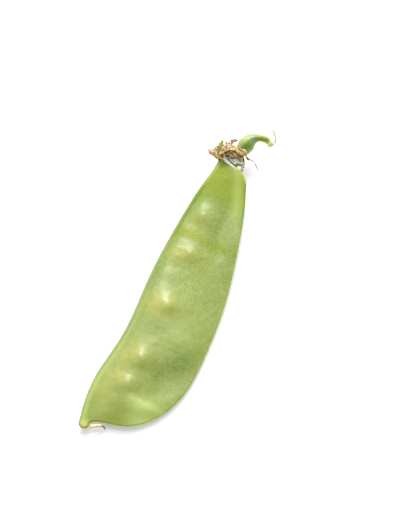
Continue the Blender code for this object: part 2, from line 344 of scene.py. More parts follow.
@dataclass(frozen=True)
class PodCuticle:
    """Fresh pea pod skin: a thin waxy cuticle over soft green tissue that lets light in.

    To the eye: a satin green with a faint whitish bloom, small bright highlights on the bumps, fine
    pale flecks and a net of faint veins, and a warm yellow where a ripening pea presses on the wall.
    Painted shade darkens some hollows and edges, and painted sheen lightens some slopes and folds.
    """

    flesh: str = "#819230"
    # The mask that each tint is laid through, bottom tint first.
    tints: tuple[tuple[str, str], ...] = (
        # The deep green tint is partly the skin's own colour and mostly painted shade where the wall turns
        # from the light.
        ("clouds", "#61771f"), ("mottle", "#a1a968"), ("leafy", "#69832a"), ("veins", "#a1a968"),
        # The pale tint is painted sheen and painted highlight on slopes, edges and folds that face the
        # light.
        ("flecks", "#b8bc8a"), ("lime", "#808f14"), ("ripening", "#aba53e"), ("pale", "#b0c26c"),
        ("hem", "#69832a"), ("rim", "#7f9438"), ("scar", "#a5813c"))
    # Flecks are coarser than life: the camera shows nothing under 0.25 mm.
    fleck_mm: float = 0.42
    vein_mm: float = 1.7
    mottle_mm: float = 2.6
    cloud_mm: float = 13.0
    roughness: float = 0.5
    wax: float = 0.42

    def build(self) -> Material:
        """Return the material."""
        made, tree, shader = blank_material("Pea pod cuticle")
        place = add(tree, "ShaderNodeTexCoord").outputs["Object"]
        mask = {name: add(tree, "ShaderNodeAttribute", attribute_name=name).outputs["Fac"]
                for name in ("rim", "leafy", "ripening", "lime", "hem", "dry", "pale", "scar")}
        net = add(tree, "ShaderNodeTexVoronoi", {"Vector": place, "Scale": per_metre(self.vein_mm)},
                  feature="DISTANCE_TO_EDGE")
        pattern = {"veins": net.outputs["Distance"]}
        for name, size, detail, octave in (("clouds", self.cloud_mm, 3.0, 0.6),
                                           ("mottle", self.mottle_mm, 4.0, 0.65),
                                           ("flecks", self.fleck_mm, 2.0, 0.7)):
            pattern[name] = add(tree, "ShaderNodeTexNoise", {
                "Vector": place, "Scale": per_metre(size), "Detail": detail, "Roughness": octave,
            }).outputs["Fac"]
        # A row reads its source from the first value to the second as a mask from the third to the last.
        for name, source, low, high, least, most in (
                ("clouds", pattern["clouds"], 0.42, 0.66, 0.0, 0.45),
                ("mottle", pattern["mottle"], 0.42, 0.74, 0.0, 0.4),
                ("flecks", pattern["flecks"], 0.48, 0.78, 0.0, 0.34),
                ("veins", pattern["veins"], 0.0, 0.12, 0.22, 0.0),
                ("rough", pattern["mottle"], 0.3, 0.7, self.roughness - 0.05, self.roughness + 0.08),
                ("wax", mask["dry"], 1.15, 1.6, self.wax, 0.05)):
            mask[name] = add(tree, "ShaderNodeMapRange", {
                "Value": source, "From Min": low, "From Max": high, "To Min": least, "To Max": most,
            }).outputs["Result"]
        colour = linear(self.flesh)
        for name, tint in self.tints:
            colour = add(tree, "ShaderNodeMix", {0: mask[name], 6: colour, 7: linear(tint)},
                         data_type="RGBA").outputs[2]
        relief = add(tree, "ShaderNodeMath", {0: pattern["flecks"], 1: pattern["mottle"]}).outputs[0]
        relief = add(tree, "ShaderNodeMath", {0: relief, 1: mask["veins"]}, operation="SUBTRACT").outputs[0]
        bump = add(tree, "ShaderNodeBump", {"Height": relief, "Strength": 0.5, "Distance": 0.06 * MM})
        rough = mask["rough"]
        for name in ("rim", "dry"):
            rough = add(tree, "ShaderNodeMath", {0: mask[name], 1: 0.3, 2: rough},
                        operation="MULTIPLY_ADD").outputs[0]
        shader.subsurface_method = "RANDOM_WALK"
        wire(tree, shader, {
            "Base Color": colour, "Roughness": rough, "Coat Weight": mask["wax"],
            "Normal": bump.outputs["Normal"], "IOR": 1.45, "Specular IOR Level": 0.3,
            "Coat Roughness": 0.32, "Coat IOR": 1.45, "Subsurface Weight": 0.35,
            "Subsurface Radius": (0.8, 1.0, 0.3), "Subsurface Scale": 1.3 * MM})
        return made


@dataclass(frozen=True)
class StalkSkin:
    """Fresh pea stalk: a firm ribbed green stem under a bluish bloom, yellower where it is slim.

    To the eye: deeper green than the pod, satin, with pale ribs, a pale cut with a brown core, and a painted
    highlight down one side of its thick part.
    """

    stem: str = "#7f9a3a"
    # The mask that each tint is laid through, bottom tint first.
    tints: tuple[tuple[str, str], ...] = (
        # The lit tint is a painted highlight.
        ("mottle", "#5f7d2c"), ("ribs", "#b3c873"), ("lit", "#b9ca7e"), ("waxy", "#93a496"),
        ("slim", "#949f30"), ("cut", "#f7f3c4"), ("core", "#6b4a22"))
    mottle_mm: float = 1.1
    roughness: float = 0.42

    def build(self) -> Material:
        """Return the material."""
        made, tree, shader = blank_material("Pea stalk skin")
        place = add(tree, "ShaderNodeTexCoord").outputs["Object"]
        mask = {name: add(tree, "ShaderNodeAttribute", attribute_name=name).outputs["Fac"]
                for name in ("slim", "cut", "core", "ribs", "lit", "waxy")}
        mottle = add(tree, "ShaderNodeTexNoise", {
            "Vector": place, "Scale": per_metre(self.mottle_mm), "Detail": 4.0, "Roughness": 0.65,
        }).outputs["Fac"]
        mask["mottle"] = add(tree, "ShaderNodeMapRange", {
            "Value": mottle, "From Min": 0.4, "From Max": 0.7, "To Max": 0.7}).outputs["Result"]
        colour = linear(self.stem)
        for name, tint in self.tints:
            colour = add(tree, "ShaderNodeMix", {0: mask[name], 6: colour, 7: linear(tint)},
                         data_type="RGBA").outputs[2]
        bump = add(tree, "ShaderNodeBump", {"Height": mottle, "Strength": 0.5, "Distance": 0.08 * MM})
        wire(tree, shader, {
            "Base Color": colour, "Normal": bump.outputs["Normal"], "Roughness": self.roughness,
            "IOR": 1.45, "Subsurface Weight": 0.25, "Subsurface Radius": (0.7, 1.0, 0.3),
            "Subsurface Scale": 0.6 * MM})
        return made


@dataclass(frozen=True)
class DriedTissue:
    """Plant tissue that has dried on the pod: papery, brittle and matt, with painted shade in its folds.

    To the eye: straw and brown streaks that run along the piece, pale dry edges, and dark parts and creases,
    partly the tissue's own tone and partly painted shade.
    """

    name: str
    straw: str
    brown: str
    dark: str
    fresh: str
    # Fibres are coarser than life: the camera shows nothing under 0.25 mm.
    fibre_mm: float = 0.28
    streak_fibres: float = 3.0
    roughness: float = 0.72
    sheer: float = 0.15

    def build(self) -> Material:
        """Return the material."""
        made, tree, shader = blank_material(self.name)
        place = add(tree, "ShaderNodeTexCoord").outputs["Object"]
        mask = {name: add(tree, "ShaderNodeAttribute", attribute_name=name).outputs["Fac"]
                for name in ("edge", "green", "fold")}
        streaks = add(tree, "ShaderNodeTexNoise", {
            "Vector": place, "Scale": per_metre(self.fibre_mm * self.streak_fibres), "Detail": 5.0,
            "Roughness": 0.7, "Distortion": 0.6}).outputs["Fac"]
        fibres = add(tree, "ShaderNodeTexNoise", {
            "Vector": place, "Scale": per_metre(self.fibre_mm), "Detail": 2.0}).outputs["Fac"]
        brown = add(tree, "ShaderNodeMapRange", {
            "Value": streaks, "From Min": 0.4, "From Max": 0.62}).outputs["Result"]
        dark = add(tree, "ShaderNodeMapRange", {
            "Value": fibres, "From Min": 0.55, "From Max": 0.75, "To Max": 0.5}).outputs["Result"]
        colour = linear(self.straw)
        # The second dark tint is partly the tissue's own dark tone and partly painted shade in hollows and
        # creases.
        for factor, tint in ((brown, self.brown), (mask["green"], self.fresh), (dark, self.dark),
                             (mask["fold"], self.dark), (mask["edge"], self.straw)):
            colour = add(tree, "ShaderNodeMix", {0: factor, 6: colour, 7: linear(tint)},
                         data_type="RGBA").outputs[2]
        bump = add(tree, "ShaderNodeBump", {"Height": fibres, "Strength": 0.7, "Distance": 0.08 * MM})
        wire(tree, shader, {
            "Base Color": colour, "Normal": bump.outputs["Normal"], "Roughness": self.roughness,
            "Subsurface Weight": self.sheer, "Subsurface Radius": (1.0, 0.8, 0.5),
            "Subsurface Scale": 0.25 * MM})
        return made


# The pod


@dataclass
class PodShell:
    """The flat pod: two valves that meet at the sutures, with a beak and a short round neck.

    Attributes:
        sutures: x, y, z of the suture that carries the peas, then of the plain one.
        flesh: half thickness of the wall along x, before bumps.
        seed_bead, plain_bead: radius of each suture's bead along x.
        bead_share: the largest bead radius, as a share of the pod's width.
        bead_fall: how far in from its top the seed suture's bead runs out, as a share of its radius.
        seed_rise: how far in from the suture that carries the peas the flesh gains its thickness.
        plain_rise: how far in from the plain suture the bumps fade.
        rise_power: how steeply both of them do so.
        thinning: how slowly the flesh thins towards the plain suture.
        neck: x where the flat pod starts and ends turning into a round neck.
        neck_radius: largest radius of the neck.
        peas: x and y of each bump, then height and radius of its dome and of the swell round it.
        under_share: the lower valve's flesh as a share of the upper one's along x.
        relief: the upper valve's dents: x, y, radius along, radius across, turn, height.
        grain: height, wavelength and seed of the wall's unevenness, coarse to fine.
        rim_width: width along x of the pale band on the suture that carries the peas.
        ripening, leafy, dewy, scar: x, y, radius along x, radius along y and strength of the skin's yellow
        spots, of deep green spots that are painted shade, of painted highlight spots, and of brown spots.
        stations: rings along the pod.
        half_sides: steps across each valve.
    """

    sutures: Rows = (
        (-0.20, 0.05, 1.80, -0.15, -0.75, 1.80), (0.25, 0.85, 1.85, 0.35, -1.35, 1.75),
        (1.40, 1.25, 1.90, 1.70, -1.35, 1.65), (3.30, 1.70, 2.05, 2.80, -2.60, 1.60),
        (6.20, 2.30, 2.25, 3.45, -5.20, 1.50), (9.50, 2.75, 2.45, 4.55, -9.30, 1.40),
        (13.5, 2.95, 2.60, 8.00, -13.6, 1.25), (18.5, 2.65, 2.70, 14.5, -16.9, 1.10),
        (24.5, 2.15, 2.92, 22.5, -18.1, 1.00), (31.0, 2.20, 3.30, 31.0, -17.8, 0.98),
        (38.8, 2.95, 3.40, 38.8, -17.1, 1.10), (47.0, 3.65, 3.22, 47.0, -15.9, 1.50),
        (57.0, 3.95, 3.00, 56.5, -13.8, 2.10), (66.0, 3.90, 2.88, 65.0, -11.6, 2.60),
        (73.0, 3.60, 2.95, 72.0, -9.50, 2.90), (78.7, 2.95, 3.20, 77.2, -7.60, 3.05),
        (82.0, 2.60, 3.50, 81.2, -5.35, 3.30), (83.2, 2.35, 3.75, 82.7, -2.50, 3.60),
        (84.4, 1.60, 3.95, 83.7, -0.90, 3.90), (86.60, 0.45, 4.10, 85.50, -1.50, 4.05),
    )
    flesh: Table = ((0, 0.6), (4, 1.4), (8, 1.75), (14, 1.85), (30, 1.85), (45, 1.75), (57, 1.45),
                    (70, 1.2), (76, 1.65), (80, 1.9), (82.5, 1.75), (84.5, 0.8), (87, 0.2))
    seed_bead: Table = ((0, 0.50), (6, 0.46), (20, 0.46), (40, 0.52), (55, 0.72), (75, 0.80), (84, 1.0))
    plain_bead: Table = ((0, 0.45), (10, 0.30), (40, 0.26), (60, 0.32), (72, 0.42), (84, 0.8))
    bead_share: float = 0.48
    bead_fall: float = 0.85
    seed_rise: Table = ((0, 3.4), (22, 3.8), (40, 2.4), (84, 2.2))
    plain_rise: float = 1.8
    rise_power: float = 1.3
    thinning: Table = ((0, 4.0), (15, 5.5), (60, 5.5), (72, 4.0), (80, 1.8), (84, 1.5))
    neck: tuple[float, float] = (81.4, 84.0)
    neck_radius: float = 1.6
    peas: Rows = ((65.0, -1.3, 0.45, 2.1, 0.20, 4.5), (53.0, -3.4, 0.44, 2.1, 0.20, 4.4),
                  (36.9, -4.5, 0.46, 2.2, 0.50, 5.5), (21.1, -5.0, 0.46, 2.1, 0.45, 4.4),
                  (13.5, -4.9, 0.42, 2.0, 0.40, 4.0))
    under_share: Table = ((0, 0.86), (6, 0.88), (14, 0.98), (22, 1.10), (30, 1.27), (37, 1.30), (45, 1.45),
                          (53, 1.50), (62, 1.35), (74, 1.00), (84, 0.84))
    relief: Rows = (
        (62.5, -7.9, 9.0, 2.6, 8.0, -0.80), (48.4, -1.8, 2.4, 3.0, 0.0, -0.20),
        (57.3, -3.0, 2.2, 2.4, 0.0, 0.10), (18.3, -12.6, 4.6, 4.6, 0.0, -1.0),
        (29.5, -12.5, 4.5, 5.0, 0.0, 0.65), (9.6, -10.8, 5.4, 2.2, -78.0, 0.50),
        (53.4, -6.0, 2.2, 0.5, -40.0, 0.07), (46.6, -9.8, 1.4, 0.25, 60.0, 0.05),
    )
    grain: tuple[tuple[float, float, int], ...] = ((0.05, 7.0, 11), (0.016, 2.2, 12), (0.006, 0.9, 13))
    rim_width: Table = ((0, 0.5), (20, 0.45), (45, 0.6), (62, 0.95), (84, 1.15))
    ripening: Rows = (
        (60.5, 0.4, 4.5, 4.5, 0.35), (51.8, -0.8, 3.6, 3.6, 0.6), (36.6, -2.2, 3.6, 3.6, 0.65),
        (21.7, -2.3, 3.4, 3.4, 0.65), (14.9, -2.0, 3.4, 3.4, 0.6), (6.5, -4.0, 4.5, 4.5, 0.3),
        (11.0, 0.6, 4.0, 4.0, 0.4), (9.0, -11.0, 4.5, 4.5, 0.3), (0.6, -0.2, 1.6, 1.6, 0.8),
    )
    # Painted shade: deep green spots in the hollow beside the top bump, in the pocket between two bumps and
    # on the lower right.
    leafy: Rows = ((49.3, -2.4, 2.6, 2.6, 0.3), (24.8, -14.2, 4.0, 2.6, 0.7), (64.0, -5.4, 5.5, 1.3, 0.8))
    # Painted highlight: pale spots on the fold near the beak and on the beak's end.
    sheen_spots: Rows = ((7.2, -11.6, 4.2, 3.8, 0.95), (5.4, -2.6, 2.2, 2.2, 0.35))
    scar: Rows = ((-0.1, -0.2, 0.6, 0.6, 0.75),)
    stations: int = 430
    half_sides: int = 100

    def beads(self, x: Array, inside: tuple[Array, Array], width: Array, neck: Array) -> Array:
        """Return half the pod's thickness as the two sutures' beads alone give it.

        Args:
            x: the points' x.
            inside: distance from the suture that carries the peas, and from the plain one.
            width: distance between the sutures there.
            neck: how far the pod has turned into its neck there, from 0 to 1.
        """
        heights = []
        for table, depth in ((self.seed_bead, inside[0]), (self.plain_bead, np.minimum(*inside))):
            radius = np.minimum(profile(table, x), self.bead_share * width)
            radius = radius * (1 - neck) + np.minimum(0.5 * width, self.neck_radius) * neck
            fall = radius
            if table is self.seed_bead:
                fall = radius * peak(depth, radius, self.bead_fall * radius)
            round_part = np.sqrt(np.clip(depth * (2 * radius - depth), 0, None))
            heights.append(np.where(depth < radius, round_part, fall))
        return np.maximum(*heights)

    def half_thickness(self, place: Array, inside: tuple[Array, Array], width: Array, valve: Valve) -> Array:
        """Return half the pod's thickness at points between the sutures.

        Args:
            place: the points on the surface that the sutures span.
            inside: distance from the suture that carries the peas, and from the plain one.
            width: distance between the sutures there.
            valve: which valve the points are on.
        """
        x, y = place[:, 0], place[:, 1]
        neck = ease(*self.neck, x)
        rise = 1 - np.exp(-(inside[0] / profile(self.seed_rise, x)) ** self.rise_power)
        flesh = profile(self.flesh, x) * rise * (1 - np.exp(-inside[1] / profile(self.thinning, x)))
        rise = rise * (1 - np.exp(-(inside[1] / self.plain_rise) ** self.rise_power)) * (1 - neck)
        for pea_x, pea_y, *bumps in self.peas:
            away = (x - pea_x) ** 2 + (y - pea_y) ** 2
            for height, radius in (bumps[:2], bumps[2:]):
                flesh = flesh + rise * height * np.exp(-away / radius ** 2)
        if valve is Valve.UPPER:
            for dent_x, dent_y, along, across, turn, height in self.relief:
                c, s = math.cos(math.radians(turn)), math.sin(math.radians(turn))
                u = ((x - dent_x) * c + (y - dent_y) * s) / along
                v = ((y - dent_y) * c - (x - dent_x) * s) / across
                flesh = flesh + height * rise * np.exp(-u * u - v * v)
        else:
            flesh = flesh * profile(self.under_share, x)
        flesh = flesh + rise * sum(height * unevenness(place, *swell) for height, *swell in self.grain)
        return np.hypot(self.beads(x, inside, width, neck), flesh)

    def skin(self) -> tuple[Array, dict[str, Array]]:
        """Return the rings of the pod's skin, and the values that its finish reads at each point."""
        path = smooth_path(self.sutures, self.stations, power=0.8)
        seed, plain = path[:, :3], path[:, 3:]
        chord = plain - seed
        width = np.linalg.norm(chord, axis=1)
        up = unit(np.cross(chord, unit(np.gradient((seed + plain) / 2, axis=0))))
        half = self.half_sides
        share = 0.5 * (1 - np.cos(np.pi * np.arange(half + 1) / half))
        place = seed[:, None] + chord[:, None] * share[None, :, None]
        flat = place.reshape(-1, 3)
        wide = np.repeat(width, half + 1)
        across = np.tile(share, self.stations) * wide
        sides = []
        for valve in Valve:
            thick = self.half_thickness(flat, (across, wide - across), wide, valve)
            sides.append(place + valve.value * up[:, None] * thick.reshape(-1, half + 1)[..., None])
        rings = np.concatenate([sides[0], sides[1][:, -2:0:-1]], axis=1)
        rings[..., 2] = np.maximum(rings[..., 2], 0.0)
        layers = {}
        for name, values in self.masks(flat, across, wide - across).items():
            values = values.reshape(-1, half + 1)
            layers[name] = with_ends(np.concatenate([values, values[:, -2:0:-1]], axis=1))
        return rings, layers

    def masks(self, place: Array, from_seed: Array, from_plain: Array) -> dict[str, Array]:
        """Work out where each tint of the skin lies.

        Args:
            place: the points on the surface that the sutures span.
            from_seed: their distance from the suture that carries the peas.
            from_plain: their distance from the plain one.

        Returns:
            For each tint, how strong it is at each point, from 0 to 1, and how dry the skin is there,
            which may pass 1.
        """
        x, y = place[:, 0], place[:, 1]
        band = profile(self.rim_width, x)
        share = from_seed / band
        third_quarter = window(50.0, 60.0, 70.0, 75.0, x)
        # Deep green that is mostly painted shade: the spots, a dark strip just inside the seed rim, and
        # darker patches mid-pod and by the neck.
        leafy = (ovals(self.leafy, place).sum(axis=0)
                 + 0.6 * peak(from_seed, 1.15 * band + 0.25, 0.35)
                 + 0.4 * peak(from_seed, 1.2 * band + 1.1, 0.9)
                 + 0.3 * window(38.0, 46.0, 62.0, 68.0, x) * ease(10.5, 7.0, from_seed)
                 + 0.45 * ease(62.0, 72.0, x) * ease(4.5, 2.0, from_seed))
        # Painted sheen and highlight: the spots, the band on the right near the neck, the fold near the
        # beak, the lower seed edge and the neck's edges.
        pale = (ovals(self.sheen_spots, place).sum(axis=0)
                + 0.4 * ease(64.0, 72.0, x) * peak(from_plain, 2.4, 1.5)
                + 0.4 * peak(x, 11.0, 1.0) * ease(-5.0, -7.5, y)
                + 0.6 * ease(46.0, 20.0, x) * ease(2.4, 0.3, from_seed)
                + 0.35 * ease(73.0, 78.0, x) * ease(1.35, 1.05, share)
                + 0.6 * ease(78.0, 80.0, x) * ease(0.9, 0.4, from_plain))
        ripe = ovals(self.ripening, place).max(axis=0) * (0.85 + 0.2 * unevenness(place, 1.4, 21))
        return {
            "rim": 0.65 * ease(1.15, 0.75, share) * (1 - 0.45 * ease(56.0, 68.0, x)),
            "leafy": np.clip(leafy, 0, 1),
            "hem": ((0.12 + 0.5 * window(60.0, 72.0, 78.0, 81.0, x)) * ease(0.9, 0.45, from_plain)
                    + 0.55 * third_quarter * ease(1.3, 0.8, share)),
            "ripening": np.clip(ripe, 0, 1),
            "lime": 0.85 * np.maximum(ease(66.0, 76.0, x), 0.5 * ease(20.0, 5.0, x)),
            "dry": (ease(36.0, 52.0, x) + 0.35 * ease(64.0, 72.0, x) + 0.7 * peak(x, 58.5, 2.2)
                    + 0.6 * third_quarter * ease(1.4, 0.8, share)),
            "scar": ovals(self.scar, place).sum(axis=0),
            "pale": np.clip(pale, 0, 1),
        }

    def build(self, grower: Grower) -> Piece:
        """Make the pod's mesh."""
        rings, layers = self.skin()
        return grower.grow("pod_skin", *closed_skin(rings), layers)

    def dress(self, piece: Piece) -> None:
        """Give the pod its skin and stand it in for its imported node."""
        piece.data.materials.append(PodCuticle().build())
        settle(piece, "pod")


def settle(piece: Piece, node: str, stands_in: bool = True) -> None:
    """Fix a finished piece to the part's one body.

    Args:
        piece: the piece.
        node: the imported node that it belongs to, which is also its material slot.
        stands_in: the piece is shown in the node's place.
    """
    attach(piece, Body.ROOT.value)
    if stands_in:
        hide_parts(node)
    LOG.info("%s: %d faces", piece.name, len(piece.data.polygons))


# The dried flower parts

# Where the calyx and the stamens' sheath start on the neck's axis, in millimetres.
CALYX_BASE = (86.70, -0.89, 4.14)
SHEATH_BASE = (85.98, -0.44, 4.07)


@dataclass
class NeckFrame:
    """Directions round the pod's neck, for what grows there.

    Attributes:
        base: a point on the neck's axis.
        axis: the way from the stalk to the pod.
    """

    base: Point
    axis: Point = (-1.0, 0.58, -0.06)

    def __post_init__(self) -> None:
        """Work out the three directions."""
        self.along = unit(np.array(self.axis))
        self.top = unit(np.array((0.0, 0.0, 1.0)) - self.along * self.along[2])
        side = np.cross(self.top, self.along)
        self.side = side if side[1] > 0 else -side

    def place(self, distance: Array, radius: Array, angle: Array) -> Array:
        """Return points at a distance along the axis, a radius from it and an angle from the top."""
        distance, radius, angle = np.broadcast_arrays(distance, radius, angle)
        out = np.cos(angle)[..., None] * self.top + np.sin(angle)[..., None] * self.side
        return np.array(self.base) + self.along * distance[..., None] + out * radius[..., None]


@dataclass(frozen=True)
class Lobe:
    """One lobe of a sleeve: where it stands, its size, how it leans and how far it swings.

    Attributes:
        middle, half: place round the neck and half width, in degrees.
        length: in millimetres.
        lean_root, lean_tip: angle from the neck's axis at its root and tip, in degrees.
        swing: how far its tip turns round the neck, in degrees.
    """

    middle: float
    half: float
    length: float
    lean_root: float
    lean_tip: float
    swing: float

    def spine(self, rim: tuple[float, float], rows: int) -> tuple[Array, ...]:
        """Follow the lobe's middle line.

        Args:
            rim: distance and radius of the sleeve's rim.
            rows: how many steps.

        Returns:
            Share of the length, distance, radius and lean in radians at each step, the rim included.
        """
        t = np.linspace(0, 1, rows + 1)
        lean = np.radians(self.lean_root + (self.lean_tip - self.lean_root) * t)
        step = self.length / rows
        distance = rim[0] + np.concatenate([[0], np.cumsum(np.cos(lean[1:]))]) * step
        radius = rim[1] + np.concatenate([[0], np.cumsum(np.sin(lean[1:]))]) * step
        return t, distance, radius, lean


@dataclass
class DriedCalyx:
    """The calyx: a shallow cup round the neck whose rim has dried into curled, frayed lobes.

    Attributes:
        neck: where it grows.
        wall: distance and radius along the cup's wall, from its middle to its rim.
        lobes: round the rim, side by side.
        curl: how far a lobe's edges bend up, in millimetres.
        thickness: in millimetres.
        columns, rows: steps across and along each lobe.
        cup_rows: rings of points in the cup.
    """

    neck: NeckFrame
    wall: Table = ((0.0, 1.3), (0.05, 2.25), (0.35, 2.75), (0.7, 2.95), (1.0, 3.0))
    lobes: tuple[Lobe, ...] = (
        Lobe(8.0, 26.0, 4.3, 20.0, -30.0, 10.0), Lobe(58.0, 24.0, 1.1, 84.0, 92.0, 0.0),
        Lobe(110.0, 28.0, 4.8, 44.0, 34.0, -8.0), Lobe(174.0, 36.0, 1.8, 0.0, -25.0, 0.0),
        Lobe(245.0, 35.0, 1.0, 116.0, 135.0, 4.0), Lobe(311.0, 31.0, 1.3, 112.0, 146.0, -3.0),
    )
    curl: float = 0.75
    thickness: float = 0.22
    columns: int = 26
    rows: int = 26
    cup_rows: int = 9

    def cup(self) -> Array:
        """Return the cup's points, its middle last: x, y, z, then the edge, green and fold values."""
        share = np.linspace(0, 1, self.cup_rows)[:, None]
        wall = smooth_path(np.array(self.wall), self.cup_rows)
        across = np.linspace(-1, 1, self.columns + 1)[:-1]
        angle = np.array([math.radians(lobe.middle + q * lobe.half) for lobe in self.lobes for q in across])
        points = self.neck.place(wall[:, :1], wall[:, 1:], angle[None, :])
        points = points + 0.10 * unevenness(points, 1.6, 31)[..., None] * share[..., None] * self.neck.along
        flat = np.ones(points.shape[:2])
        values = np.stack([0 * flat, 0.55 * (1 - share) * flat, 0.25 * flat], axis=-1)
        middle = (*self.neck.base, 0.0, 0.5, 0.4)
        return np.vstack([np.concatenate([points, values], axis=-1).reshape(-1, 6), middle])

    def leaf(self, number: int) -> Array:
        """Return one lobe's points above the rim: x, y, z, then the edge, green and fold values."""
        lobe, rim = self.lobes[number], self.wall[-1]
        t, distance, radius, lean = (part[:, None] for part in lobe.spine(rim, self.rows))
        q = np.linspace(-1, 1, self.columns + 1)[None, :]
        fray = unevenness(np.column_stack([t * 9, np.full(len(t), number * 7.0)]), 2.2, 33)[:, None]
        reach = math.radians(lobe.half) * rim[1] * (1 - t) ** 0.75 * np.where(t > 0, 1 + 0.16 * fray, 1)
        reach[-1] = 0.06
        turn = np.radians(lobe.middle + lobe.swing * t)
        lift = self.curl * np.sin(np.pi * np.minimum(1, 1.25 * t)) * np.abs(q) ** 2.2
        away, out = distance - np.sin(lean) * lift, radius + np.cos(lean) * lift
        points = self.neck.place(away, out, turn + q * (reach / radius))
        crumple = 0.16 * unevenness(points, 1.3, 35 + number) + 0.07 * unevenness(points, 0.5, 45 + number)
        crumple = (crumple + 0.06 * np.cos(q * 3 * np.pi)) * np.minimum(1, 3 * t)
        normal = (-np.sin(lean)[..., None] * self.neck.along
                  + np.cos(lean)[..., None] * unit(points - np.array(self.neck.base)))
        points = points + crumple[..., None] * unit(normal)
        edge = 0.7 * np.abs(q) ** 6 * np.ones_like(away)
        green = 0.6 * np.exp(-(t / 0.35) ** 2) * (0.5 + 0.5 * unevenness(points, 2.0, 55))
        # Painted shade where the crumpled lobe dips in.
        fold = np.clip(0.5 - 1.8 * crumple / 0.16, 0, 0.8)
        values = np.stack([edge, np.clip(green, 0, 1), fold], axis=-1)
        return np.concatenate([points, values], axis=-1)[1:].reshape(-1, 6)

    def build(self, grower: Grower) -> Piece:
        """Make the calyx's mesh."""
        around = len(self.lobes) * self.columns
        patches = [self.cup()]
        first = len(patches[0])
        faces = ring_faces(self.cup_rows, around) + [((i + 1) % around, i, first - 1) for i in range(around)]
        for number in range(len(self.lobes)):
            rim = [(self.cup_rows - 1) * around + (number * self.columns + i) % around
                   for i in range(self.columns + 1)]
            faces += [(rim[i], rim[i + 1], first + i + 1, first + i) for i in range(self.columns)]
            faces += grid_faces(self.rows, self.columns + 1, first)
            patches.append(self.leaf(number))
            first += len(patches[-1])
        table = np.concatenate(patches)
        layers = {name: table[:, 3 + i] for i, name in enumerate(("edge", "green", "fold"))}
        made = grower.grow("calyx_leaves", table[:, :3], faces, layers)
        thicken(made, "Leaf thickness", self.thickness)
        return made

    def dress(self, piece: Piece) -> None:
        """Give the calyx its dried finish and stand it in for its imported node."""
        # Straw streaked with brown, still a little green at its roots.
        finish = DriedTissue("Dried pea calyx", "#dfc58a", "#b5893a", "#573a18", "#9aa044", fibre_mm=0.35)
        piece.data.materials.append(finish.build())
        settle(piece, "calyx")


